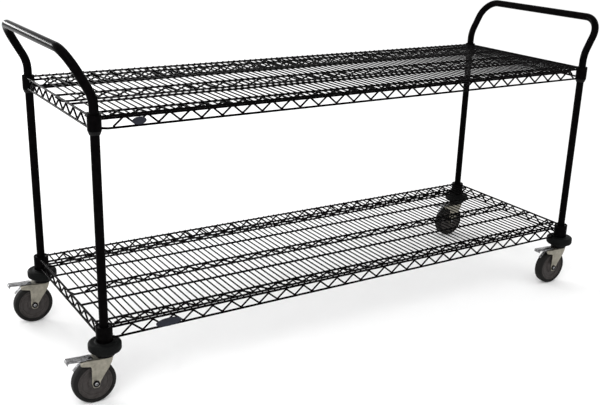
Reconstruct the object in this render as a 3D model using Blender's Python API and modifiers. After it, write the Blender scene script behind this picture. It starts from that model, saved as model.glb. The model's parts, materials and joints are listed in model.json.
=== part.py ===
"""Two-tier wire shelf cart: welded wire shelves clamped to two U-shaped push handles, on four braked casters.

The frame has +X to the right along the cart, +Y to the back and +Z up. Its origin is on the floor, under
the middle of the whole cart as it stands with its casters trailing left. All sizes are in metres.
"""

import math

import bmesh
import bpy
from mathutils import Matrix

# Driving dimensions
GAP = 0.0003
TURNED_STEPS = 12
# The trailing pedals reach further left than the right handle does right, so the posts are off centre
CENTRE_X = 0.0175
SHELF_LENGTH = 1.8288
SHELF_WIDTH = 0.6096
POST_X = 0.9038
POST_Y = 0.2943
POST_RADIUS = 0.0127
POST_WALL = 0.0016
POST_SIDES_RESOLUTION = 2
BOTTOM_SHELF_TOP = 0.2255
SHELF_PITCH = 0.598

# U-shaped handles
POST_BOTTOM = 0.1503
LEAN_START = 0.842
LEAN_RADIUS = 0.098
LEAN_ANGLE = math.radians(28.6)
LEAN_LENGTH = 0.115
CORNER_RADIUS = 0.068
LEAN_STEPS = 3
CORNER_STEPS = 5

# Wire shelves
MAT_WIRE = 0.0044
MAT_BARS = 14
RAIL_WIRE = 0.0060
SHELF_DEPTH = 0.041
RAIL_TOP = 0.0388
RAIL_STEP = 0.0003
TRUSS_WIRE = 0.0052
PERIMETER_WAVES = 28
END_WAVES = 9
INNER_WAVES = 6
INNER_TRUSS_Y = 0.2480
INNER_TRUSS_DEPTH = 0.0250
INNER_TRUSS_RISE = 0.020
SINGLE_RAIL_Y = 0.1230
COLLAR_RISE = 0.001
COLLAR_STEPS = 20

# Bumpers and casters, measured from the floor and from each stem's axis
WHEEL_RADIUS = 0.0635
WHEEL_HALF_WIDTH = 0.016
RIM_RADIUS = 0.0505
TRAIL = 0.037
AXLE_RADIUS = 0.0049
BUMPER_RADIUS = 0.047
BUMPER_BOTTOM = 0.1503
BUMPER_TOP = 0.1800
STEM_RADIUS = 0.0095
STEM_TOP = 0.215
RACE_RADIUS = 0.0278
KINGPIN_RADIUS = 0.0060
KINGPIN_BORE = 0.0068
AXLE_BORE = 0.0055
PEDAL_PIN_RADIUS = 0.0022
CROWN_BOTTOM = 0.1335
CROWN_TOP = 0.1373
FORK_HALF_WIDTH = 0.022
CHEEK = 0.003
PEDAL_PIVOT = (-0.0690, 0.1325)
PEDAL_HALF_WIDTH = 0.014
PEDAL_REACH = 0.1146

# Blank oval nameplates on the front trusses: centre X, centre Z above its shelf's foot, length, height
PLATE_THICKNESS = 0.0015
BOTTOM_PLATE = (-0.7135, 0.0145, 0.080, 0.026)
TOP_PLATE = (-0.7850, 0.0165, 0.040, 0.021)

CORNERS = {
    "front_left": (-1, -1),
    "front_right": (1, -1),
    "back_left": (-1, 1),
    "back_right": (1, 1),
}

for old in list(bpy.data.objects):
    bpy.data.objects.remove(old)

PARTS = bpy.data.collections.new("wire_shelf_cart")
TOOLS = bpy.data.collections.new("cutters")
for collection in (PARTS, TOOLS):
    bpy.context.scene.collection.children.link(collection)


# Materials


def finish(name, colour, roughness, metallic):
    material = bpy.data.materials.new(name)
    material.use_nodes = True
    shader = material.node_tree.nodes["Principled BSDF"]
    shader.inputs["Base Color"].default_value = (*colour, 1.0)
    shader.inputs["Roughness"].default_value = roughness
    shader.inputs["Metallic"].default_value = metallic
    return material


EPOXY = finish("black_epoxy", (0.012, 0.011, 0.012), 0.35, 0.0)
PLASTIC = finish("black_plastic", (0.015, 0.015, 0.016), 0.5, 0.0)
RUBBER = finish("bumper_rubber", (0.014, 0.015, 0.015), 0.7, 0.0)
TREAD = finish("tread_rubber", (0.018, 0.018, 0.018), 0.75, 0.0)
CORE = finish("wheel_core", (0.060, 0.052, 0.050), 0.55, 0.0)
ZINC = finish("yellow_zinc", (0.36, 0.34, 0.28), 0.4, 0.9)
STEEL = finish("bright_zinc", (0.55, 0.55, 0.54), 0.3, 1.0)
PLATE = finish("nameplate", (0.030, 0.036, 0.050), 0.3, 0.2)


# Making and placing meshes


def link(name, data, material, group=PARTS):
    piece = bpy.data.objects.new(name, data)
    group.objects.link(piece)
    if material and not data.materials:
        data.materials.append(material)
    if group is TOOLS:
        piece.hide_render = True
        piece.display_type = "WIRE"
    return piece


def settled(piece, name):
    """The piece's evaluated mesh, welded and facing out, in the piece's own space. The piece is removed."""
    graph = bpy.context.evaluated_depsgraph_get()
    mesh = bpy.data.meshes.new_from_object(piece.evaluated_get(graph))
    mesh.name = name
    work = bmesh.new()
    work.from_mesh(mesh)
    bmesh.ops.remove_doubles(work, verts=work.verts, dist=1e-6)
    bmesh.ops.dissolve_limit(work, angle_limit=2e-3, verts=work.verts, edges=work.edges)
    bmesh.ops.recalc_face_normals(work, faces=work.faces)
    work.to_mesh(mesh)
    work.free()
    bpy.data.objects.remove(piece)
    mesh.shade_smooth()
    mesh.set_sharp_from_angle(angle=math.radians(35))
    return mesh


def turned(name, profile, steps):
    """A profile of (radius, height) points swept round Z. It runs down the outer side, and a ring's closes."""
    mesh = bpy.data.meshes.new(name)
    edges = [(i, i + 1) for i in range(len(profile) - 1)]
    if profile[0][0] > 0.0:
        edges.append((len(profile) - 1, 0))
    mesh.from_pydata([(radius, 0.0, height) for radius, height in profile], edges, [])
    piece = link(name, mesh, None)
    screw = piece.modifiers.new("turn", "SCREW")
    screw.steps = steps
    screw.render_steps = steps
    screw.use_merge_vertices = True
    screw.merge_threshold = 1e-5
    return settled(piece, name)


def on_y_axis(mesh, turn=0.0):
    """The mesh turned about its own axis by this angle, then so that its +Z axis points along -Y."""
    mesh.transform(Matrix.Rotation(math.pi / 2, 4, "X") @ Matrix.Rotation(turn, 4, "Z"))
    return mesh


def flat(name, outline, holes, thickness):
    """A plate of the given thickness, centred on the XY plane. Its outline and holes are closed polygons."""
    curve = bpy.data.curves.new(name, "CURVE")
    curve.dimensions = "2D"
    curve.fill_mode = "BOTH"
    curve.extrude = thickness / 2
    for polygon in [outline, *holes]:
        spline = curve.splines.new("POLY")
        spline.points.add(len(polygon) - 1)
        for point, (x, y) in zip(spline.points, polygon):
            point.co = (x, y, 0.0, 1.0)
        spline.use_cyclic_u = True
    return settled(link(name, curve, None), name)


def upright(mesh):
    """A plate drawn in X and Y, stood up so that its Y becomes Z."""
    mesh.transform(Matrix.Rotation(math.pi / 2, 4, "X"))
    return mesh


def arc(centre, radius, start, end, steps):
    """Points on an arc, with its angles in degrees."""
    angles = [math.radians(start + (end - start) * i / steps) for i in range(steps + 1)]
    return [(centre[0] + radius * math.cos(a), centre[1] + radius * math.sin(a)) for a in angles]


def block(name, low, high):
    """A box between two corners."""
    work = bmesh.new()
    bmesh.ops.create_cube(work, size=1.0)
    size = [top - bottom for bottom, top in zip(low, high)]
    middle = [(top + bottom) / 2 for bottom, top in zip(low, high)]
    bmesh.ops.scale(work, vec=size, verts=work.verts)
    bmesh.ops.translate(work, vec=middle, verts=work.verts)
    mesh = bpy.data.meshes.new(name)
    work.to_mesh(mesh)
    work.free()
    return mesh


def combined(name, base, joined, cut):
    """One mesh: the base with the joined meshes added and the cut meshes taken away, all in the same space."""
    piece = link(name, base, None)
    tools = []
    for operation, meshes in (("UNION", joined), ("DIFFERENCE", cut)):
        for mesh in meshes:
            tool = link(mesh.name, mesh, None, TOOLS)
            tools.append(tool)
            boolean = piece.modifiers.new(mesh.name, "BOOLEAN")
            boolean.operation = operation
            boolean.object = tool
    bpy.context.view_layer.update()
    mesh = settled(piece, name)
    for tool in tools:
        bpy.data.objects.remove(tool)
    return mesh


def placed(mesh, shift):
    moved = mesh.copy()
    moved.transform(Matrix.Translation(shift))
    return moved


# Push handles: each is one bent tube that is also two of the posts


def leg(distance):
    """How far out and how high a point of the leg is, at this distance along it from the start of the lean."""
    bend = LEAN_RADIUS * LEAN_ANGLE
    if distance < bend:
        angle = distance / LEAN_RADIUS
        return LEAN_RADIUS * (1 - math.cos(angle)), LEAN_START + LEAN_RADIUS * math.sin(angle)
    straight = distance - bend
    out = LEAN_RADIUS * (1 - math.cos(LEAN_ANGLE)) + straight * math.sin(LEAN_ANGLE)
    height = LEAN_START + LEAN_RADIUS * math.sin(LEAN_ANGLE) + straight * math.cos(LEAN_ANGLE)
    return out, height


def handle_path(side):
    bend = LEAN_RADIUS * LEAN_ANGLE
    grip = bend + LEAN_LENGTH
    half = [(side * POST_X, -POST_Y, POST_BOTTOM)]
    for i in range(LEAN_STEPS + 1):
        out, height = leg(bend * i / LEAN_STEPS)
        half.append((side * (POST_X + out), -POST_Y, height))
    for i in range(CORNER_STEPS + 1):
        angle = math.pi / 2 * i / CORNER_STEPS
        out, height = leg(grip - CORNER_RADIUS * (1 - math.sin(angle)))
        half.append((side * (POST_X + out), -POST_Y + CORNER_RADIUS * (1 - math.cos(angle)), height))
    return half + [(x, -y, z) for x, y, z in reversed(half)]


def add_handle(name, side):
    path = handle_path(side)
    curve = bpy.data.curves.new(name, "CURVE")
    curve.dimensions = "3D"
    curve.bevel_depth = POST_RADIUS
    curve.bevel_resolution = POST_SIDES_RESOLUTION
    spline = curve.splines.new("POLY")
    spline.points.add(len(path) - 1)
    for point, place in zip(spline.points, path):
        point.co = (*place, 1.0)
    tube = link(name, settled(link(name, curve, None), name), EPOXY)
    wall = tube.modifiers.new("wall", "SOLIDIFY")
    wall.thickness = POST_WALL
    wall.offset = -1.0


# Wire shelves: each is one welding


def mat_wires():
    """A few of the close wires that goods stand on, one over every other wave, sunk into the rails."""
    half_width = SHELF_WIDTH / 2 - TRUSS_WIRE / 2
    spacing = 4 * POST_X / PERIMETER_WAVES
    bars = bmesh.new()
    for i in range(MAT_BARS):
        x = (i - (MAT_BARS - 1) / 2) * spacing
        low = (x - MAT_WIRE / 2, -half_width, SHELF_DEPTH - MAT_WIRE)
        bars.from_mesh(block("mat_wire", low, (x + MAT_WIRE / 2, half_width, SHELF_DEPTH)))
    mesh = bpy.data.meshes.new("mat")
    bars.to_mesh(mesh)
    bars.free()
    return mesh


def truss(name, half_length, top, depth, waves, rise=0.0):
    """Two rails and the bent wire between them, on the edges of a strip of triangles.

    The bent wire starts high at each end. With a rise, the lower rail stops short of the ends by
    that much and sweeps up to meet the upper one, and the bent wire starts low.
    """
    high = top - TRUSS_WIRE / 2
    low = top - depth + TRUSS_WIRE / 2
    near, far = (low, high) if rise else (high, low)
    first = rise - half_length
    wave = -2 * first / waves
    near_rail = [(first + i * wave, near) for i in range(waves + 1)]
    far_rail = [(first + (i + 0.5) * wave, far) for i in range(waves)]
    far_rail = [(-half_length, far), *far_rail, (half_length, far)]
    points = [(x, y, 0.0) for x, y in near_rail + far_rail]
    base = len(near_rail)
    faces = [(i, i + 1, base + i + 1) for i in range(waves)]
    faces += [(base + i, i, base + i + 1) for i in range(waves + 1)]
    strip = bpy.data.meshes.new(name)
    strip.from_pydata(points, [], faces)
    piece = link(name, strip, None)
    wires = piece.modifiers.new("wires", "WIREFRAME")
    wires.thickness = TRUSS_WIRE
    wires.use_boundary = True
    wires.use_even_offset = True
    wires.use_relative_offset = False
    return upright(settled(piece, name))


def shelf_mesh(name, collar_radius, bore_top, bore_bottom, collar_drop):
    """A shelf with its foot at Z = 0. Its collars have tapered bores, wider at the bottom."""
    edge_y = SHELF_WIDTH / 2 - TRUSS_WIRE / 2
    edge_x = SHELF_LENGTH / 2 - TRUSS_WIRE / 2
    end_top = RAIL_TOP - RAIL_STEP
    inner_top = RAIL_TOP - 2 * RAIL_STEP
    side = truss("side_truss", POST_X, RAIL_TOP, RAIL_TOP, PERIMETER_WAVES)
    end = truss("end_truss", POST_Y, end_top, end_top - RAIL_STEP, END_WAVES)
    end.transform(Matrix.Rotation(math.pi / 2, 4, "Z"))
    inner = truss("inner_truss", edge_x, inner_top, INNER_TRUSS_DEPTH, INNER_WAVES, INNER_TRUSS_RISE)
    half_rail = RAIL_WIRE / 2
    rail = block("rail", (-edge_x, -half_rail, inner_top - RAIL_WIRE), (edge_x, half_rail, inner_top))
    joined = [placed(end, (x, 0, 0)) for x in (-edge_x, edge_x)]
    joined += [placed(inner, (0, y, 0)) for y in (-INNER_TRUSS_Y, 0.0, INNER_TRUSS_Y)]
    joined += [placed(rail, (0, y, 0)) for y in (-SINGLE_RAIL_Y, SINGLE_RAIL_Y)]
    joined.append(mat_wires())
    joined.append(placed(side, (0, edge_y, 0)))
    top = SHELF_DEPTH + COLLAR_RISE
    foot = -collar_drop
    drum = turned("collar", [(0, top), (collar_radius, top), (collar_radius, foot), (0, foot)], COLLAR_STEPS)
    reach = 0.01
    flare = (bore_bottom - bore_top) / (top - foot) * reach
    cone = [(0, top + reach), (bore_top - flare, top + reach)]
    cone += [(bore_bottom + flare, foot - reach), (0, foot - reach)]
    bore = turned("bore", cone, COLLAR_STEPS)
    places = [(x * POST_X, y * POST_Y, 0) for x, y in CORNERS.values()]
    joined += [placed(drum, place) for place in places]
    return combined(name, placed(side, (0, -edge_y, 0)), joined, [placed(bore, place) for place in places])


def half_sleeve(name, profile):
    """One half of a turned ring, cut back from the plane through its axis by half of the slot."""
    mesh = turned(name, profile, TURNED_STEPS)
    work = bmesh.new()
    work.from_mesh(mesh)
    geometry = [*work.verts, *work.edges, *work.faces]
    cut = {"plane_co": (GAP, 0, 0), "plane_no": (1, 0, 0), "clear_inner": True}
    bmesh.ops.bisect_plane(work, geom=geometry, dist=1e-6, **cut)
    bmesh.ops.holes_fill(work, edges=[edge for edge in work.edges if edge.is_boundary])
    bmesh.ops.recalc_face_normals(work, faces=work.faces)
    work.to_mesh(mesh)
    work.free()
    return mesh


def add_sleeves(shelf, mesh):
    for corner, (x, y) in CORNERS.items():
        for half, turn in (("inner", 0.0), ("outer", math.pi)):
            piece = link(f"{shelf}_sleeve_{corner}_{half}", mesh, PLASTIC)
            piece.location = (x * POST_X, y * POST_Y, 0)
            piece.rotation_euler = (0, 0, turn if x < 0 else turn + math.pi)


def add_nameplate(name, foot, place):
    x, z, length, height = place
    centre_gap = (length - height) / 2
    rounded = arc((centre_gap, 0), height / 2, -90, 90, 8) + arc((-centre_gap, 0), height / 2, 90, 270, 8)
    plate = link(name, upright(flat(name, rounded, [], PLATE_THICKNESS)), PLATE)
    plate.location = (x, -SHELF_WIDTH / 2 - GAP - PLATE_THICKNESS / 2, foot + z)


# Casters: every mesh has its origin on its own joint's axis


def bumper_mesh():
    shoulder = 0.007
    edge = 0.0015
    profile = [(BUMPER_RADIUS - shoulder, BUMPER_TOP), (BUMPER_RADIUS - edge, BUMPER_TOP - 0.004)]
    profile += [(BUMPER_RADIUS, BUMPER_TOP - 0.010), (BUMPER_RADIUS, BUMPER_BOTTOM + 0.010)]
    profile += [(BUMPER_RADIUS - edge, BUMPER_BOTTOM + 0.004), (BUMPER_RADIUS - shoulder, BUMPER_BOTTOM)]
    bore = POST_RADIUS + 2 * GAP
    return turned("bumper", profile + [(bore, BUMPER_BOTTOM), (bore, BUMPER_TOP)], TURNED_STEPS)


def stem_mesh():
    """The stem, the fixed half of the swivel race, and the kingpin riveted over under the crown."""
    race_top = BUMPER_BOTTOM - GAP
    race_bottom = 0.1443
    rivet_top = CROWN_BOTTOM - GAP
    rivet_bottom = 0.1292
    profile = [(0, STEM_TOP), (STEM_RADIUS - 0.001, STEM_TOP), (STEM_RADIUS, STEM_TOP - 0.002)]
    profile += [(STEM_RADIUS, race_top), (RACE_RADIUS, race_top), (RACE_RADIUS, race_bottom)]
    profile += [(KINGPIN_RADIUS, race_bottom), (KINGPIN_RADIUS, rivet_top), (0.0100, rivet_top)]
    profile += [(0.0085, rivet_bottom), (0, rivet_bottom)]
    return turned("stem", profile, TURNED_STEPS)


def race_mesh():
    top = 0.1440
    bottom = CROWN_TOP + GAP
    profile = [(0.0262, top), (0.0275, bottom), (KINGPIN_BORE, bottom), (KINGPIN_BORE, top)]
    return turned("race", profile, TURNED_STEPS)


def fork_mesh():
    """A pressed fork: a crown plate, two cheeks with arms to the rear, and the brake's pin across them."""
    tip = arc((-TRAIL, WHEEL_RADIUS), 0.0125, 170, 330, 5)
    outline = [(-0.0785, 0.1365), (-0.0785, 0.1262), (-0.0480, 0.1165)]
    outline += [*tip, (0.0030, 0.1070), (0.0160, 0.1365)]
    cheek = upright(flat("cheek", outline, [], CHEEK))
    middle = FORK_HALF_WIDTH - CHEEK / 2
    inside = middle + 0.0008
    crown = block("crown", (-0.058, -inside, CROWN_BOTTOM), (0.0175, inside, CROWN_TOP))
    pivot_x, pivot_z = PEDAL_PIVOT
    pin_half = middle + 0.0004
    profile = [(0, pin_half), (PEDAL_PIN_RADIUS, pin_half), (PEDAL_PIN_RADIUS, -pin_half), (0, -pin_half)]
    pin = on_y_axis(turned("pin", profile, 6))
    profile = [(0, 0.15), (KINGPIN_BORE, 0.15), (KINGPIN_BORE, 0.12), (0, 0.12)]
    hole = turned("kingpin_hole", profile, TURNED_STEPS)
    reach = 2 * FORK_HALF_WIDTH
    profile = [(0, reach), (AXLE_BORE, reach), (AXLE_BORE, -reach), (0, -reach)]
    axle = on_y_axis(turned("axle_hole", profile, 8))
    joined = [placed(cheek, (0, -middle, 0)), placed(cheek, (0, middle, 0)), placed(pin, (pivot_x, 0, pivot_z))]
    return combined("fork", crown, joined, [hole, placed(axle, (-TRAIL, 0, WHEEL_RADIUS))])


def bolt_mesh():
    """The axle bolt, with its head on the outer side at -Y."""
    head = FORK_HALF_WIDTH + GAP
    profile = [(0, head + 0.0052), (0.0080, head + 0.0052), (0.0080, head), (AXLE_RADIUS, head)]
    profile += [(AXLE_RADIUS, -head - 0.0085), (0, -head - 0.0085)]
    return placed(on_y_axis(turned("bolt", profile, 8)), (-TRAIL, 0, WHEEL_RADIUS))


def nut_mesh():
    face = -FORK_HALF_WIDTH - GAP
    back = face - 0.0062
    bore = 0.0062
    nut = on_y_axis(turned("nut", [(0.0088, face), (0.0088, back), (bore, back), (bore, face)], 6))
    return placed(nut, (-TRAIL, 0, WHEEL_RADIUS))


def tyre_mesh():
    """A solid tread ring. Its facets touch the wheel's true circle, and it stands on one of them."""
    facets = 24
    to_corner = 1 / math.cos(math.pi / facets)
    half = WHEEL_HALF_WIDTH
    inside = (RIM_RADIUS + GAP) * to_corner
    outside = WHEEL_RADIUS * to_corner
    shoulder = outside - 0.003
    profile = [(shoulder, half), (outside, half - 0.006), (outside, 0.006 - half), (shoulder, -half)]
    return on_y_axis(turned("tyre", profile + [(inside, -half), (inside, half)], facets), math.pi / facets)


def wheel_core_mesh():
    """A moulded rim and web, with a long hub that nearly fills the fork."""
    hub_half = FORK_HALF_WIDTH - CHEEK - 0.0012
    bore = AXLE_RADIUS + 0.0006
    one_side = [(RIM_RADIUS, 0.0140), (0.0440, 0.0080), (0.0185, 0.0080), (0.0150, hub_half), (bore, hub_half)]
    lower = [(radius, -height) for radius, height in one_side]
    return on_y_axis(turned("wheel_core", [one_side[0], *lower, *reversed(one_side[1:])], TURNED_STEPS))


def pedal_mesh():
    """The brake lever: foot plate and lip, barrel on the pin, shoe behind the tyre, and tongue."""
    barrel = arc(PEDAL_PIVOT, 0.0050, 270, 390, 5)
    outline = [(-0.0400, 0.1388), (-0.0400, 0.1408), (-0.0680, 0.1412), (-0.1128, 0.1440)]
    outline += [(-PEDAL_REACH, 0.1424), (-0.1136, 0.1338), (-0.1116, 0.1340), (-0.1108, 0.1404)]
    outline += [(-0.0760, 0.1372), (-0.0768, 0.1274), (-0.0956, 0.1090), (-0.0940, 0.1074)]
    outline += [(-0.0751, 0.1260), *barrel, (-0.0605, 0.1385)]
    eye = arc(PEDAL_PIVOT, 0.0029, 0, 315, 7)
    mesh = upright(flat("pedal", outline, [eye], 2 * PEDAL_HALF_WIDTH))
    mesh.transform(Matrix.Translation((-PEDAL_PIVOT[0], 0, -PEDAL_PIVOT[1])))
    return mesh


def add_casters():
    axle = (-TRAIL, 0, WHEEL_RADIUS)
    pivot = (PEDAL_PIVOT[0], 0, PEDAL_PIVOT[1])
    kinds = [
        ("bumper", bumper_mesh(), RUBBER, (0, 0, 0)),
        ("caster_stem", stem_mesh(), PLASTIC, (0, 0, 0)),
        ("swivel_race", race_mesh(), PLASTIC, (0, 0, 0)),
        ("caster_fork", fork_mesh(), ZINC, (0, 0, 0)),
        ("axle_bolt", bolt_mesh(), STEEL, (0, 0, 0)),
        ("axle_nut", nut_mesh(), STEEL, (0, 0, 0)),
        ("tyre", tyre_mesh(), TREAD, axle),
        ("wheel_core", wheel_core_mesh(), CORE, axle),
        ("brake_pedal", pedal_mesh(), STEEL, pivot),
    ]
    for corner, (x, y) in CORNERS.items():
        for kind, mesh, material, offset in kinds:
            piece = link(f"{corner}_{kind}", mesh, material)
            piece.location = (x * POST_X + offset[0], y * POST_Y + offset[1], offset[2])


# The cart

cart = link("cart", None, None)
cart.location = (CENTRE_X, 0, 0)
bottom_foot = BOTTOM_SHELF_TOP - SHELF_DEPTH
top_foot = bottom_foot + SHELF_PITCH
inner = POST_RADIUS + 2 * GAP

add_handle("handle_left", -1)
add_handle("handle_right", 1)

bottom_shelf = link("bottom_shelf", shelf_mesh("bottom_shelf", 0.0235, 0.0200, 0.0212, 0.0036), EPOXY)
bottom_shelf.location = (0, 0, bottom_foot)
top_shelf = link("top_shelf", shelf_mesh("top_shelf", 0.0190, 0.0162, 0.0172, 0.0006), EPOXY)
top_shelf.location = (0, 0, top_foot)

top_end = top_foot + SHELF_DEPTH - 0.002
sleeve = [(0.0159, top_end), (0.0168, top_foot - 0.0010)]
sleeve += [(0.0186, top_foot - 0.0010), (0.0145, top_foot - 0.0120)]
add_sleeves("top", half_sleeve("top_sleeve", sleeve + [(inner, top_foot - 0.0120), (inner, top_end)]))
low_end = bottom_foot + SHELF_DEPTH - 0.002
sleeve = [(0.0197, low_end), (0.0208, BUMPER_TOP + 0.0008)]
add_sleeves("bottom", half_sleeve("bottom_sleeve", sleeve + [(inner, BUMPER_TOP + 0.0008), (inner, low_end)]))

add_nameplate("bottom_nameplate", bottom_foot, BOTTOM_PLATE)
add_nameplate("top_nameplate", top_foot, TOP_PLATE)
add_casters()
for piece in PARTS.objects:
    if piece is not cart:
        piece.parent = cart
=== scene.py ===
"""Looks of the wire shelf cart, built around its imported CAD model, in metres and in the model's frame.

Each piece here stands for a coarse CAD solid and rides on the same body. Heights and places come from the
frame's own boxes; the sizes below repeat or refine the model's driving dimensions.
"""

import json
import math

import bmesh
import bpy
from mathutils import Matrix, Vector

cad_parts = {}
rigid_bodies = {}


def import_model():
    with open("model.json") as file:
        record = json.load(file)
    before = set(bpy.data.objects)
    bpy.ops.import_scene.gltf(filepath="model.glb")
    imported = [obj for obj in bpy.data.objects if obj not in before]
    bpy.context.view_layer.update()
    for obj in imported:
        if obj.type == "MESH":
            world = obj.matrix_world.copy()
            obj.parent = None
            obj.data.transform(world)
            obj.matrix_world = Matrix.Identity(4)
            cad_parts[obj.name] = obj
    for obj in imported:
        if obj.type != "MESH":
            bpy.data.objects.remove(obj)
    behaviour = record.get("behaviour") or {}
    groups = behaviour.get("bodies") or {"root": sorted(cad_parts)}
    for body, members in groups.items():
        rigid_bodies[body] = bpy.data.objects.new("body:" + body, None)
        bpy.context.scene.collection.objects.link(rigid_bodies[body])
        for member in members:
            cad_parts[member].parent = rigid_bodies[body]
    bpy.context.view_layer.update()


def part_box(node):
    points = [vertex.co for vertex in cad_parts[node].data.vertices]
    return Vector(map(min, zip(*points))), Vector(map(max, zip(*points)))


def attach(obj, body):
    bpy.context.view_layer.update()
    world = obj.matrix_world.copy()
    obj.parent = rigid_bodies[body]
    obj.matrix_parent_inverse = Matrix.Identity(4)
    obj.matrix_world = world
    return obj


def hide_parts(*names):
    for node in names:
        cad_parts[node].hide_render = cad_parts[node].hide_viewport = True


for old in list(bpy.data.objects):
    bpy.data.objects.remove(old)

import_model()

CORNERS = ("front_left", "front_right", "back_left", "back_right")
GAP = 0.0003
LATHE_STEPS = 72
BEND_STEPS = 5
SHARP_ANGLE = math.radians(32)
WIRE_SHARP_ANGLE = math.radians(50)
NEARLY_STRAIGHT = math.radians(89)
GRAIN_HEIGHT = 0.001

# Tube handles
POST_RADIUS = 0.0127
LEAN_START = 0.842
LEAN_RADIUS = 0.098
LEAN_ANGLE = math.radians(28.6)
LEAN_LENGTH = 0.115
CORNER_RADIUS = 0.068
HANDLE_BEND_STEPS = 20

# Wire shelves: heights are above the shelf's foot, and sideways sizes are from the posts' axes
SHELF_DEPTH = 0.041
COLLAR_RISE = 0.001
RIM_WIRE = 0.0066
TRUSS_WIRE = 0.0056
MAT_WIRE = 0.0046
RIM_OUT_X = 0.0076
RIM_OUT_Y = 0.0075
RIM_TOP = 0.0358
RIM_BOTTOM = 0.0030
RIM_END_LIFT = 0.003
RIM_END = 0.012
RIM_FLAT = 0.034
RIM_BEND = 0.03
FIRST_VALLEY = 0.0478
SIDE_WAVES = 27
END_WAVES = 8
MAT_WIRES = 82
FIRST_MAT_WIRE = 0.0268
WELD = 0.0033
INNER_TRUSS_Y = 0.2480
INNER_TOP = 0.0352
INNER_BOTTOM = 0.0162
INNER_SWEEP = 0.020
SWEEP_DROP = 0.004
SWEEP_BEND = 0.012
MAT_END = 0.0012
SINGLE_RAIL_Y = 0.1230
WAVE_BEND = 0.0055

# Casters: heights are above the floor, and the rest is from each stem's axis
WHEEL_RADIUS = 0.0635
WHEEL_HALF_WIDTH = 0.016
RIM_RADIUS = 0.0505
TRAIL = 0.037
AXLE_RADIUS = 0.0049
BUMPER_RADIUS = 0.047
RACE_RADIUS = 0.0278
CROWN_TOP = 0.1373
CROWN_BOTTOM = 0.1335
FORK_HALF_WIDTH = 0.022
CHEEK = 0.003
PEDAL_PIVOT = (-0.0690, 0.1325)
PEDAL_HALF_WIDTH = 0.014
PEDAL_REACH = 0.1146
SHOE_HALF_WIDTH = 0.0045
PEDAL_BORE = 0.0029
BARREL_RADIUS = 0.005
BARREL_STEPS = 12
KINGPIN_RADIUS = 0.0060
KINGPIN_BORE = 0.0068
AXLE_BORE = 0.0055
PEDAL_PIN_RADIUS = 0.0022


def middle(node):
    low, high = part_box(node)
    return (low + high) / 2


AXES = {corner: middle(f"{corner}_bumper") for corner in CORNERS}
CENTRE_X = (AXES["front_left"].x + AXES["front_right"].x) / 2
POST_X = AXES["front_right"].x - CENTRE_X
POST_Y = AXES["back_left"].y


# Materials


def look(dark, light, patches, roughness, metallic=0.0, gloss=0.5, grain=(700.0, 0.05)):
    """A finish whose colour and roughness wander in patches of this many to the metre, over a fine grain."""
    material = bpy.data.materials.new("finish")
    material.use_nodes = True
    nodes = material.node_tree.nodes
    join = material.node_tree.links.new
    shader = nodes["Principled BSDF"]
    shader.inputs["Metallic"].default_value = metallic
    shader.inputs["Specular IOR Level"].default_value = gloss
    place = nodes.new("ShaderNodeTexCoord")
    cloud = nodes.new("ShaderNodeTexNoise")
    cloud.inputs["Scale"].default_value = patches
    cloud.inputs["Detail"].default_value = 5.0
    cloud.inputs["Roughness"].default_value = 0.62
    join(place.outputs["Object"], cloud.inputs["Vector"])
    ramp = nodes.new("ShaderNodeValToRGB")
    ramp.color_ramp.elements[0].position = 0.32
    ramp.color_ramp.elements[0].color = (*dark, 1.0)
    ramp.color_ramp.elements[1].position = 0.70
    ramp.color_ramp.elements[1].color = (*light, 1.0)
    join(cloud.outputs["Fac"], ramp.inputs["Fac"])
    join(ramp.outputs["Color"], shader.inputs["Base Color"])
    spread = nodes.new("ShaderNodeMapRange")
    spread.inputs["From Min"].default_value = 0.3
    spread.inputs["From Max"].default_value = 0.7
    spread.inputs["To Min"].default_value = roughness[0]
    spread.inputs["To Max"].default_value = roughness[1]
    join(cloud.outputs["Fac"], spread.inputs["Value"])
    join(spread.outputs["Result"], shader.inputs["Roughness"])
    fine = nodes.new("ShaderNodeTexNoise")
    fine.inputs["Scale"].default_value = grain[0]
    fine.inputs["Detail"].default_value = 3.0
    join(place.outputs["Object"], fine.inputs["Vector"])
    bump = nodes.new("ShaderNodeBump")
    bump.inputs["Strength"].default_value = grain[1]
    bump.inputs["Distance"].default_value = GRAIN_HEIGHT
    join(fine.outputs["Fac"], bump.inputs["Height"])
    join(bump.outputs["Normal"], shader.inputs["Normal"])
    return material


LOOKS = {
    "black_epoxy": look(
        (0.0008, 0.0007, 0.0008), (0.0026, 0.0022, 0.0023), 60, (0.18, 0.24),
        gloss=0.008, grain=(700, 0.015),
    ),
    "black_plastic": look(
        (0.0022, 0.0020, 0.0021), (0.0065, 0.0058, 0.0060), 90, (0.42, 0.55),
        gloss=0.08, grain=(1500, 0.12),
    ),
    "bumper_rubber": look(
        (0.0018, 0.0020, 0.0020), (0.0048, 0.0052, 0.0052), 70, (0.55, 0.72),
        gloss=0.06, grain=(1100, 0.16),
    ),
    "tread": look(
        (0.0045, 0.0043, 0.0042), (0.0130, 0.0122, 0.0118), 45, (0.60, 0.80),
        gloss=0.1, grain=(900, 0.2),
    ),
    "wheel_core": look(
        (0.0250, 0.0215, 0.0205), (0.0480, 0.0420, 0.0400), 80, (0.45, 0.62),
        gloss=0.2, grain=(1300, 0.1),
    ),
    "zinc": look(
        (0.190, 0.178, 0.146), (0.330, 0.310, 0.258), 55, (0.34, 0.52),
        metallic=0.9, grain=(450, 0.08),
    ),
    "bright_zinc": look(
        (0.06, 0.06, 0.06), (0.34, 0.34, 0.35), 130, (0.18, 0.36),
        metallic=1.0, grain=(600, 0.06),
    ),
    "nameplate": look(
        (0.007, 0.008, 0.013), (0.015, 0.017, 0.026), 60, (0.16, 0.26),
        metallic=0.1, gloss=0.2, grain=(900, 0.03),
    ),
}
for finish, material in LOOKS.items():
    material.name = finish


# Making meshes


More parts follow.
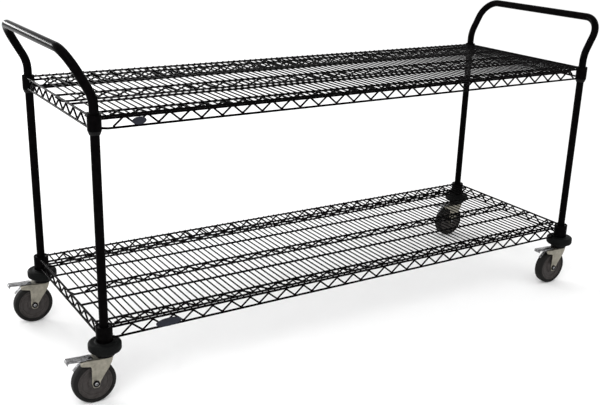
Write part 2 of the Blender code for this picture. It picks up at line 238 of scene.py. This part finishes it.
def rounded(points, radius, closed=False, steps=BEND_STEPS):
    """The points, in two or three dimensions, with an arc of up to this radius in place of each corner."""
    points = [Vector(point).to_3d() for point in points]
    result = []
    for i, corner in enumerate(points):
        if not closed and i in (0, len(points) - 1):
            result.append(corner)
            continue
        back = points[i - 1] - corner
        ahead = points[(i + 1) % len(points)] - corner
        half_angle = back.angle(ahead) / 2
        if half_angle > NEARLY_STRAIGHT:
            result.append(corner)
            continue
        reach = min(radius / math.tan(half_angle), 0.49 * back.length, 0.49 * ahead.length)
        start = back.normalized() * reach
        end = ahead.normalized() * reach
        centre = (start + end).normalized() * (reach / math.cos(half_angle))
        arm = start - centre
        for step in range(steps + 1):
            result.append(corner + centre + arm.slerp(end - centre, step / steps) * arm.length)
    return result


def finished(mesh):
    """The mesh welded, facing out and smooth, with sharp edges kept."""
    work = bmesh.new()
    work.from_mesh(mesh)
    bmesh.ops.remove_doubles(work, verts=work.verts, dist=1e-6)
    bmesh.ops.recalc_face_normals(work, faces=work.faces)
    work.to_mesh(mesh)
    work.free()
    mesh.shade_smooth()
    mesh.set_sharp_from_angle(angle=SHARP_ANGLE)
    return mesh


def turned(name, profile, edge=0.0, steps=LATHE_STEPS, start=0.0, sweep=math.tau):
    """A closed profile of (radius, height) points, with its corners rounded, swept round Z."""
    if edge:
        profile = rounded(profile, edge, closed=True)
    full = sweep == math.tau
    count = len(profile)
    rings = steps if full else steps + 1
    points = []
    for i in range(rings):
        angle = start + sweep * i / steps
        points += [(p[0] * math.cos(angle), p[0] * math.sin(angle), p[1]) for p in profile]
    faces = []
    for i in range(steps):
        j = (i + 1) % rings
        for k in range(count):
            n = (k + 1) % count
            faces.append((i * count + k, j * count + k, j * count + n, i * count + n))
    if not full:
        faces.append(tuple(range(count)))
        faces.append(tuple(range((rings - 1) * count, rings * count)))
    mesh = bpy.data.meshes.new(name)
    mesh.from_pydata(points, [], faces)
    return finished(mesh)


def solid(profile):
    """The profile closed along the axis, from its last height back to its first."""
    return [(0.0, profile[0][1]), *profile, (0.0, profile[-1][1])]


def on_y_axis(mesh):
    """The mesh turned so that its +Z axis points along -Y."""
    mesh.transform(Matrix.Rotation(math.pi / 2, 4, "X"))
    return mesh


def shifted(mesh, x, y, z):
    mesh.transform(Matrix.Translation((x, y, z)))
    return mesh


def plate(name, outline, low, high, plane="XY"):
    """A solid with this outline in one plane, between two distances along the axis across it."""
    place = {
        "XY": lambda a, b, t: (a, b, t),
        "XZ": lambda a, b, t: (a, t, b),
        "YZ": lambda a, b, t: (t, a, b),
    }[plane]
    count = len(outline)
    points = [place(p[0], p[1], t) for t in (low, high) for p in outline]
    faces = [tuple(range(count)), tuple(range(count, 2 * count))]
    faces += [(i, (i + 1) % count, count + (i + 1) % count, count + i) for i in range(count)]
    mesh = bpy.data.meshes.new(name)
    mesh.from_pydata(points, [], faces)
    return finished(mesh)


def rod(name, radius, low, high):
    """A plain cylinder, to cut with or to join."""
    return turned(name, solid([(radius, high), (radius, low)]), steps=32)


def rectangle(low_a, low_b, high_a, high_b):
    return [(low_a, low_b), (high_a, low_b), (high_a, high_b), (low_a, high_b)]


def evaluated(piece, name):
    """The piece's mesh with its modifiers applied. The piece is removed."""
    bpy.context.view_layer.update()
    graph = bpy.context.evaluated_depsgraph_get()
    mesh = bpy.data.meshes.new_from_object(piece.evaluated_get(graph))
    mesh.name = name
    bpy.data.objects.remove(piece)
    return mesh


def shaped(name, base, crossed=(), joined=(), cut=(), edge=0.0):
    """The base, crossed with, joined to and cut by other meshes in turn, with its sharp edges eased."""
    piece = bpy.data.objects.new(name, base)
    bpy.context.scene.collection.objects.link(piece)
    tools = []
    for operation, meshes in (("INTERSECT", crossed), ("UNION", joined), ("DIFFERENCE", cut)):
        for mesh in meshes:
            tool = bpy.data.objects.new(mesh.name, mesh)
            bpy.context.scene.collection.objects.link(tool)
            tools.append(tool)
            boolean = piece.modifiers.new(mesh.name, "BOOLEAN")
            boolean.operation = operation
            boolean.object = tool
    if edge:
        bevel = piece.modifiers.new("edges", "BEVEL")
        bevel.width = edge
        bevel.segments = 2
        bevel.limit_method = "ANGLE"
        bevel.angle_limit = SHARP_ANGLE
    mesh = evaluated(piece, name)
    for tool in tools:
        bpy.data.objects.remove(tool)
    mesh.shade_smooth()
    mesh.set_sharp_from_angle(angle=SHARP_ANGLE)
    return mesh


def wires(name, paths, radius, sides=3):
    """Round wire of this radius along each path, as one mesh."""
    curve = bpy.data.curves.new(name, "CURVE")
    curve.dimensions = "3D"
    curve.bevel_depth = radius
    curve.bevel_resolution = sides
    curve.use_fill_caps = True
    for path in paths:
        spline = curve.splines.new("POLY")
        spline.points.add(len(path) - 1)
        for point, place in zip(spline.points, path):
            point.co = (*place, 1.0)
    piece = bpy.data.objects.new(name, curve)
    bpy.context.scene.collection.objects.link(piece)
    mesh = evaluated(piece, name)
    mesh.shade_smooth()
    mesh.set_sharp_from_angle(angle=WIRE_SHARP_ANGLE)
    return mesh


def add(name, mesh, finish, body, stands_for, place=(0, 0, 0), turn=0.0):
    """A piece that rides on the body and stands for these CAD nodes. Meshes may be shared between pieces."""
    if not mesh.materials:
        mesh.materials.append(LOOKS[finish])
    piece = bpy.data.objects.new(name, mesh)
    piece.location = place
    piece.rotation_euler = (0, 0, turn)
    bpy.context.scene.collection.objects.link(piece)
    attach(piece, body)
    if stands_for:
        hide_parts(*stands_for)
    return piece


# Handles


def leg(distance):
    """How far out and how high the leg's point is, at this distance along it from the start of the lean."""
    bend = LEAN_RADIUS * LEAN_ANGLE
    angle = min(distance / LEAN_RADIUS, LEAN_ANGLE)
    straight = max(distance - bend, 0.0)
    out = LEAN_RADIUS * (1 - math.cos(angle)) + straight * math.sin(LEAN_ANGLE)
    height = LEAN_START + LEAN_RADIUS * math.sin(angle) + straight * math.cos(LEAN_ANGLE)
    return out, height


def handle_path(side, foot):
    bend = LEAN_RADIUS * LEAN_ANGLE
    grip = bend + LEAN_LENGTH
    post = CENTRE_X + side * POST_X
    half = [(post, -POST_Y, foot)]
    for i in range(HANDLE_BEND_STEPS + 1):
        out, height = leg(bend * i / HANDLE_BEND_STEPS)
        half.append((post + side * out, -POST_Y, height))
    for i in range(HANDLE_BEND_STEPS + 1):
        angle = math.pi / 2 * i / HANDLE_BEND_STEPS
        out, height = leg(grip - CORNER_RADIUS * (1 - math.sin(angle)))
        half.append((post + side * out, CORNER_RADIUS * (1 - math.cos(angle)) - POST_Y, height))
    return half + [(x, -y, z) for x, y, z in reversed(half)]


def add_handles():
    for side, name in ((-1, "handle_left"), (1, "handle_right")):
        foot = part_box(name)[0].z
        tube = wires(f"{name}_tube", [handle_path(side, foot)], POST_RADIUS, sides=10)
        add(f"{name}_tube", tube, "black_epoxy", "frame", [name])


# Shelves


def wave_path(first, waves, low, high):
    """A bent wire's (distance, height) points, from its first valley to its last."""
    wave = -2 * first / waves
    points = []
    for i in range(waves):
        points.append((first + i * wave, low))
        points.append((first + (i + 0.5) * wave, high))
    points.append((-first, low))
    return rounded(points, WAVE_BEND)


def side_run(y, foot, path):
    return [(CENTRE_X + p[0], y, foot + p[1]) for p in path]


def end_run(x, foot, path):
    return [(x, p[0], foot + p[1]) for p in path]


def rim_bottom(half):
    """The lower rim wire's (distance, height) points: flat, with both ends lifted to the collars."""
    ends = [(RIM_END - half, RIM_BOTTOM + RIM_END_LIFT), (RIM_FLAT - half, RIM_BOTTOM)]
    ends += [(half - RIM_FLAT, RIM_BOTTOM), (half - RIM_END, RIM_BOTTOM + RIM_END_LIFT)]
    return rounded(ends, RIM_BEND)


def add_wires(shelf, kind, paths, diameter, sides=3):
    name = f"{shelf}_{kind}"
    add(name, wires(name, paths, diameter / 2, sides), "black_epoxy", "frame", [shelf])


def add_shelf(shelf, collar_radius, collar_drop, collar_bore):
    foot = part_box(shelf)[1].z - COLLAR_RISE - SHELF_DEPTH
    rim_x = POST_X + RIM_OUT_X
    rim_y = POST_Y + RIM_OUT_Y
    first_x = FIRST_VALLEY - POST_X
    first_y = FIRST_VALLEY - POST_Y
    rim_low = RIM_BOTTOM + WELD
    rim_high = RIM_TOP - WELD
    long_low = rim_bottom(POST_X)
    long_top = [(-POST_X, RIM_TOP), (POST_X, RIM_TOP)]
    short_low = rim_bottom(POST_Y)
    short_top = [(-POST_Y, RIM_TOP), (POST_Y, RIM_TOP)]
    rims = [side_run(y, foot, path) for y in (-rim_y, rim_y) for path in (long_low, long_top)]
    rims += [end_run(CENTRE_X + x, foot, path) for x in (-rim_x, rim_x) for path in (short_low, short_top)]
    add_wires(shelf, "rim_wires", rims, RIM_WIRE, 4)

    side_wave = wave_path(first_x, SIDE_WAVES, rim_low, rim_high)
    end_wave = wave_path(first_y, END_WAVES, rim_low, rim_high)
    inner_wave = wave_path(first_x, SIDE_WAVES, INNER_BOTTOM + WELD, INNER_TOP - WELD)
    waves = [side_run(y, foot, side_wave) for y in (-rim_y, rim_y)]
    waves += [end_run(CENTRE_X + x, foot, end_wave) for x in (-rim_x, rim_x)]
    inner_lines = (-INNER_TRUSS_Y, 0.0, INNER_TRUSS_Y)
    waves += [side_run(y, foot, inner_wave) for y in inner_lines]
    add_wires(shelf, "bent_wires", waves, TRUSS_WIRE)

    swept = [(-rim_x, INNER_TOP - SWEEP_DROP), (INNER_SWEEP - rim_x, INNER_BOTTOM)]
    swept += [(rim_x - INNER_SWEEP, INNER_BOTTOM), (rim_x, INNER_TOP - SWEEP_DROP)]
    swept = rounded(swept, SWEEP_BEND)
    rail_top = [(-rim_x, INNER_TOP), (rim_x, INNER_TOP)]
    rails = [side_run(y, foot, path) for y in inner_lines for path in (swept, rail_top)]
    rails += [side_run(y, foot, rail_top) for y in (-SINGLE_RAIL_Y, SINGLE_RAIL_Y)]
    add_wires(shelf, "rails", rails, RIM_WIRE, 4)

    half_mat = POST_X - FIRST_MAT_WIRE
    spacing = 2 * half_mat / (MAT_WIRES - 1)
    height = foot + SHELF_DEPTH - MAT_WIRE / 2
    reach = rim_y + RIM_WIRE / 2 - MAT_END
    mat = []
    for i in range(MAT_WIRES):
        x = CENTRE_X - half_mat + i * spacing
        mat.append([(x, -reach, height), (x, reach, height)])
    add_wires(shelf, "mat_wires", mat, MAT_WIRE, 2)

    top = SHELF_DEPTH + COLLAR_RISE
    wall = [(collar_bore, top), (collar_radius, top)]
    wall += [(collar_radius, -collar_drop), (collar_bore, -collar_drop)]
    collar = turned(f"{shelf}_collar", wall, edge=0.0012)
    for corner in CORNERS:
        place = (AXES[corner].x, AXES[corner].y, foot)
        add(f"{shelf}_collar_{corner}", collar, "black_epoxy", "frame", [shelf], place)


def add_sleeves(shelf, profile):
    """Each post's tapered sleeve, in two halves with a narrow slot between them."""
    slot = GAP / profile[0][0]
    half = turned(f"{shelf}_half_sleeve", profile, 0.0008, 40, slot - math.pi / 2, math.pi - 2 * slot)
    for corner in CORNERS:
        inward = 0.0 if corner.endswith("left") else math.pi
        for side, turn in (("inner", inward), ("outer", inward + math.pi)):
            node = f"{shelf}_sleeve_{corner}_{side}"
            place = (AXES[corner].x, AXES[corner].y, 0)
            add(f"{node}_half", half, "black_plastic", "frame", [node], place, turn)


def add_nameplate(node):
    """A blank oval plate with a raised rim."""
    low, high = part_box(node)
    half_length = (high.x - low.x) / 2
    half_height = (high.z - low.z) / 2
    angles = [math.tau * i / LATHE_STEPS for i in range(LATHE_STEPS)]
    outline = [(half_length * math.cos(angle), half_height * math.sin(angle)) for angle in angles]
    thickness = high.y - low.y
    body = plate(node, outline, -thickness / 2, thickness / 2, "XZ")
    work = bmesh.new()
    work.from_mesh(body)
    front = [face for face in work.faces if len(face.verts) > 4 and face.normal.y < 0]
    bmesh.ops.inset_region(work, faces=front, thickness=0.0013, depth=0.0)
    bmesh.ops.inset_region(work, faces=front, thickness=0.0004, depth=-0.0005)
    work.to_mesh(body)
    work.free()
    add(f"{node}_plate", body, "nameplate", "frame", [node], (low + high) / 2)


# Casters: every mesh has its origin on its own joint's axis


def bumper_mesh():
    low, high = (corner.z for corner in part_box("front_left_bumper"))
    bore = POST_RADIUS + 2 * GAP
    lip = 0.0265
    profile = [(bore, high), (lip, high), (lip + 0.003, high - 0.0022), (BUMPER_RADIUS, high - 0.0004)]
    profile += [(BUMPER_RADIUS, low + 0.0004), (lip + 0.003, low + 0.0022), (lip, low), (bore, low)]
    return turned("bumper", profile, 0.0095)


def stem_mesh():
    """The stem, the fixed half of the swivel race, and the kingpin riveted over under the crown."""
    race_top = 0.1500
    race_bottom = 0.1443
    profile = [(0.0085, 0.2150), (0.0095, 0.2130), (0.0095, race_top), (RACE_RADIUS, race_top)]
    profile += [(RACE_RADIUS, race_bottom), (KINGPIN_RADIUS, race_bottom)]
    profile += [(KINGPIN_RADIUS, 0.1332), (0.0100, 0.1332), (0.0085, 0.1292)]
    return turned("stem", rounded(solid(profile), 0.0010), steps=LATHE_STEPS)


def race_mesh():
    """The turning half of the swivel race, with a pressed groove round it."""
    low = CROWN_TOP + GAP
    profile = [(KINGPIN_BORE, 0.1440), (0.0262, 0.1440), (0.0270, 0.1420), (0.0258, 0.1408), (0.0272, 0.1396)]
    profile += [(0.0275, low), (KINGPIN_BORE, low)]
    return turned("race", profile, 0.0006)


def fork_mesh():
    """A pressed fork: a channel bent from one plate, cut to its side outline, with a slot for the pedal."""
    rear = -0.0785
    nose = 0.0175
    low = WHEEL_RADIUS - 0.02
    outside = rectangle(-FORK_HALF_WIDTH, low, FORK_HALF_WIDTH, CROWN_TOP)
    inner_half = FORK_HALF_WIDTH - CHEEK
    inside = rectangle(-inner_half, low - 0.01, inner_half, CROWN_BOTTOM)
    channel = plate("channel", rounded(outside, 0.0058, True), rear, nose, "YZ")
    hollow = plate("hollow", rounded(inside, 0.0028, True), rear - 0.01, nose + 0.01, "YZ")
    tip = 0.0125
    outline = [(rear, CROWN_TOP + 0.002), (rear, 0.1262), (-0.0480, 0.1190), (-0.0480, 0.0800)]
    outline += [(-TRAIL - tip, WHEEL_RADIUS + 0.004), (-TRAIL - 0.0085, WHEEL_RADIUS - tip)]
    outline += [(-TRAIL + 0.0085, WHEEL_RADIUS - tip), (-TRAIL + tip, WHEEL_RADIUS + 0.004)]
    outline += [(-0.0110, 0.0878), (0.0030, 0.1070), (0.0110, 0.1215)]
    outline += [(0.0160, CROWN_TOP), (0.0160, CROWN_TOP + 0.002)]
    side = plate("side", rounded(outline, 0.006, True), -0.03, 0.03, "XZ")
    slot_half = 0.0165
    slot = plate("slot", rectangle(-0.10, -slot_half, -0.058, slot_half), 0.12, 0.15)
    kingpin = rod("kingpin_hole", KINGPIN_BORE, 0.12, 0.15)
    axle = shifted(on_y_axis(rod("axle_hole", AXLE_BORE, -0.03, 0.03)), -TRAIL, 0, WHEEL_RADIUS)
    pivot_x, pivot_z = PEDAL_PIVOT
    pin_half = FORK_HALF_WIDTH + 0.0012
    ends = solid([(PEDAL_PIN_RADIUS, pin_half), (PEDAL_PIN_RADIUS, -pin_half)])
    heads = turned("pin", rounded(ends, 0.0008), steps=24)
    pin = shifted(on_y_axis(heads), pivot_x, 0, pivot_z)
    formed = shaped("formed", channel, crossed=[side], cut=[hollow, slot, kingpin, axle], edge=0.0005)
    return shaped("fork", formed, joined=[pin])


def bolt_mesh():
    """The axle bolt: a low domed head at -Y, and its plain end at +Y."""
    head = FORK_HALF_WIDTH + GAP
    profile = [(0.0040, head + 0.0044), (0.0054, head + 0.0030), (0.0054, head + 0.0010)]
    profile += [(AXLE_RADIUS, head + 0.0010), (AXLE_RADIUS, -head - 0.0078)]
    profile += [(AXLE_RADIUS - 0.001, -head - 0.0085)]
    bolt = turned("bolt", rounded(solid(profile), 0.0005), steps=36)
    socket = plate("socket", hexagon(0.0026), head + 0.0022, head + 0.01)
    return shifted(on_y_axis(shaped("bolt", bolt, cut=[socket])), -TRAIL, 0, WHEEL_RADIUS)


def washer_mesh():
    """The dark dished washer that the bolt's head sits in."""
    low = FORK_HALF_WIDTH + GAP
    profile = [(AXLE_RADIUS + GAP, low), (0.0098, low), (0.0098, low + 0.0022), (0.0084, low + 0.0022)]
    profile += [(0.0072, low + 0.0008), (AXLE_RADIUS + GAP, low + 0.0008)]
    return shifted(on_y_axis(turned("washer", profile, 0.0003, 48)), -TRAIL, 0, WHEEL_RADIUS)


def hexagon(radius):
    return [(radius * math.cos(i * math.pi / 3), radius * math.sin(i * math.pi / 3)) for i in range(6)]


def nut_mesh():
    """A hexagon with its corners turned off on the outer face."""
    face = -FORK_HALF_WIDTH - GAP
    back = face - 0.0062
    blank = plate("blank", hexagon(0.0088), back, face)
    cone = turned("cone", solid([(0.0100, face + 0.001), (0.0100, back + 0.0014), (0.0074, back)]), steps=48)
    bore = rod("nut_bore", AXLE_RADIUS + 0.0003, back - 0.01, face + 0.01)
    nut = shaped("nut", blank, crossed=[cone], cut=[bore], edge=0.0002)
    return shifted(on_y_axis(nut), -TRAIL, 0, WHEEL_RADIUS)


def tyre_mesh():
    """A solid tread ring, crowned across its width, with a fine line where it meets the rim."""
    half = WHEEL_HALF_WIDTH
    inside = RIM_RADIUS + GAP
    crown = [(WHEEL_RADIUS - 0.0012, 0.0125), (WHEEL_RADIUS - 0.0003, 0.0070), (WHEEL_RADIUS, 0.0)]
    profile = [(inside, half - 0.0012), (inside + 0.0012, half), (WHEEL_RADIUS - 0.0060, half)]
    profile += [*crown, *((radius, -y) for radius, y in reversed(crown[:-1]))]
    profile += [(WHEEL_RADIUS - 0.0060, -half), (inside + 0.0012, -half), (inside, 0.0012 - half)]
    return on_y_axis(turned("tyre", profile, 0.004, 96))


def wheel_core_mesh():
    """A moulded core: rim lip, recessed web with a step, and a long hub that nearly fills the fork."""
    hub_half = FORK_HALF_WIDTH - CHEEK - 0.0012
    bore = AXLE_RADIUS + 0.0006
    side = [(RIM_RADIUS, 0.0140), (0.0478, 0.0150), (0.0462, 0.0112), (0.0425, 0.0104), (0.0412, 0.0122)]
    side += [(0.0385, 0.0122), (0.0370, 0.0088), (0.0225, 0.0084)]
    side += [(0.0190, 0.0140), (0.0150, hub_half), (bore, hub_half)]
    lower = [(radius, -height) for radius, height in side]
    return on_y_axis(turned("wheel_core", [*reversed(side), *lower], 0.0012, 96))


def pedal_mesh():
    """The brake lever of bent plate: foot plate and lip, barrel on the pin, shoe by the tyre, and tongue."""
    pivot_x, pivot_z = PEDAL_PIVOT
    barrel = []
    for i in range(BARREL_STEPS + 1):
        angle = math.radians(270 + 120 * i / BARREL_STEPS)
        barrel.append((pivot_x + BARREL_RADIUS * math.cos(angle), pivot_z + BARREL_RADIUS * math.sin(angle)))
    outline = [(-0.0400, 0.1388), (-0.0400, 0.1408), (-0.0680, 0.1412)]
    outline += [(-0.1128, 0.1440), (-PEDAL_REACH, 0.1424)]
    outline += [(-0.1136, 0.1338), (-0.1116, 0.1340), (-0.1108, 0.1404), (-0.0760, 0.1372)]
    outline += [(-0.0756, 0.1322), *barrel, (-0.0605, 0.1385)]
    shoe = [(-0.0758, 0.1340), (-0.0768, 0.1274), (-0.0956, 0.1090), (-0.0940, 0.1074), (-0.0751, 0.1260)]
    shoe += [(-0.0715, 0.1300), (-0.0715, 0.1340)]
    bent = plate("bent", rounded(outline, 0.0022, True, 4), -PEDAL_HALF_WIDTH, PEDAL_HALF_WIDTH, "XZ")
    leaf = plate("leaf", rounded(shoe, 0.0010, True, 3), -SHOE_HALF_WIDTH, SHOE_HALF_WIDTH, "XZ")
    above = rectangle(-PEDAL_REACH - 0.001, -PEDAL_HALF_WIDTH, -0.0400, PEDAL_HALF_WIDTH)
    plan = plate("plan", rounded(above, 0.006, True), 0.10, 0.15)
    eye = shifted(on_y_axis(rod("eye", PEDAL_BORE, -0.03, 0.03)), pivot_x, 0, pivot_z)
    pedal = shaped("pedal", bent, crossed=[plan], joined=[leaf], cut=[eye], edge=0.0003)
    return shifted(pedal, -pivot_x, 0, -pivot_z)


def add_casters():
    axle = Vector((-TRAIL, 0, WHEEL_RADIUS))
    pivot = Vector((PEDAL_PIVOT[0], 0, PEDAL_PIVOT[1]))
    stem = Vector((0, 0, 0))
    kinds = [
        ("bumper", bumper_mesh(), "bumper_rubber", "frame", stem),
        ("caster_stem", stem_mesh(), "black_plastic", "frame", stem),
        ("swivel_race", race_mesh(), "black_plastic", "swivel", stem),
        ("caster_fork", fork_mesh(), "zinc", "swivel", stem),
        ("axle_bolt", bolt_mesh(), "bright_zinc", "swivel", stem),
        ("axle_nut", nut_mesh(), "bright_zinc", "swivel", stem),
        ("tyre", tyre_mesh(), "tread", "wheel", axle),
        ("wheel_core", wheel_core_mesh(), "wheel_core", "wheel", axle),
        ("brake_pedal", pedal_mesh(), "bright_zinc", "pedal", pivot),
    ]
    washer = washer_mesh()
    for corner in CORNERS:
        foot = Vector((AXES[corner].x, AXES[corner].y, 0))
        for kind, mesh, finish, part, offset in kinds:
            body = part if part == "frame" else f"{corner}_{part}"
            add(f"{corner}_{kind}_look", mesh, finish, body, [f"{corner}_{kind}"], foot + offset)
        add(f"{corner}_axle_washer", washer, "black_plastic", f"{corner}_swivel", [], foot)


# Floor, lights and camera

FLOOR_HALF_WIDTH = 40.0


def add_floor():
    mesh = bpy.data.meshes.new("floor")
    edge = FLOOR_HALF_WIDTH
    corners = [(x, y, 0) for x, y in rectangle(-edge, -edge, edge, edge)]
    mesh.from_pydata(corners, [], [(0, 1, 2, 3)])
    material = bpy.data.materials.new("pale_floor")
    material.use_nodes = True
    shader = material.node_tree.nodes["Principled BSDF"]
    shader.inputs["Base Color"].default_value = (0.94, 0.94, 0.94, 1.0)
    shader.inputs["Roughness"].default_value = 0.9
    shader.inputs["Specular IOR Level"].default_value = 0.1
    mesh.materials.append(material)
    floor = bpy.data.objects.new("floor", mesh)
    bpy.context.scene.collection.objects.link(floor)


def add_light(name, place, target, size, power):
    data = bpy.data.lights.new(name, "AREA")
    data.shape = "RECTANGLE"
    data.size, data.size_y = size
    data.energy = power
    light = bpy.data.objects.new(name, data)
    light.location = place
    light.rotation_euler = (Vector(target) - Vector(place)).to_track_quat("-Z", "Y").to_euler()
    light.visible_camera = False
    bpy.context.scene.collection.objects.link(light)


def add_lights():
    world = bpy.data.worlds.new("studio")
    world.use_nodes = True
    background = world.node_tree.nodes["Background"]
    background.inputs["Color"].default_value = (1, 1, 1, 1)
    background.inputs["Strength"].default_value = 1.1
    bpy.context.scene.world = world
    add_light("key", (-2.5, -2.5, 3.5), (0, 0, 0.5), (2.5, 2.5), 60)
    add_light("back", (-2.55, 6.0, 1.85), (-1.0, 0, 1.0), (3.0, 0.5), 210)


def add_camera():
    """The photograph's point of view."""
    data = bpy.data.cameras.new("camera")
    data.lens = 53.88
    data.sensor_width = 36.0
    data.shift_x = 0.0024
    data.shift_y = 0.0254
    camera = bpy.data.objects.new("camera", data)
    pan = Matrix.Rotation(math.radians(-32.33), 4, "Z")
    tilt = Matrix.Rotation(math.radians(90 - 19.41), 4, "X")
    roll = Matrix.Rotation(math.radians(1.753), 4, "Z")
    camera.matrix_world = Matrix.Translation((-1.6394, -2.4778, 1.353)) @ pan @ tilt @ roll
    bpy.context.scene.collection.objects.link(camera)
    bpy.context.scene.camera = camera


add_camera()
add_floor()
add_lights()
bpy.context.scene.view_settings.view_transform = "Standard"

add_handles()
add_shelf("bottom_shelf", collar_radius=0.0235, collar_drop=0.0036, collar_bore=0.0200)
add_shelf("top_shelf", collar_radius=0.0190, collar_drop=0.0006, collar_bore=0.0162)

post_bore = POST_RADIUS + 2 * GAP
for shelf in ("bottom", "top"):
    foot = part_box(f"{shelf}_shelf")[1].z - COLLAR_RISE - SHELF_DEPTH
    end = foot + SHELF_DEPTH - 0.002
    if shelf == "top":
        outer = [(0.0159, end), (0.0168, foot - 0.0010), (0.0186, foot - 0.0010), (0.0145, foot - 0.0120)]
    else:
        outer = [(0.0197, end), (0.0208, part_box("front_left_bumper")[1].z + 0.0008)]
    add_sleeves(shelf, [(post_bore, end), *outer, (post_bore, outer[-1][1])])

add_nameplate("bottom_nameplate")
add_nameplate("top_nameplate")
add_casters()
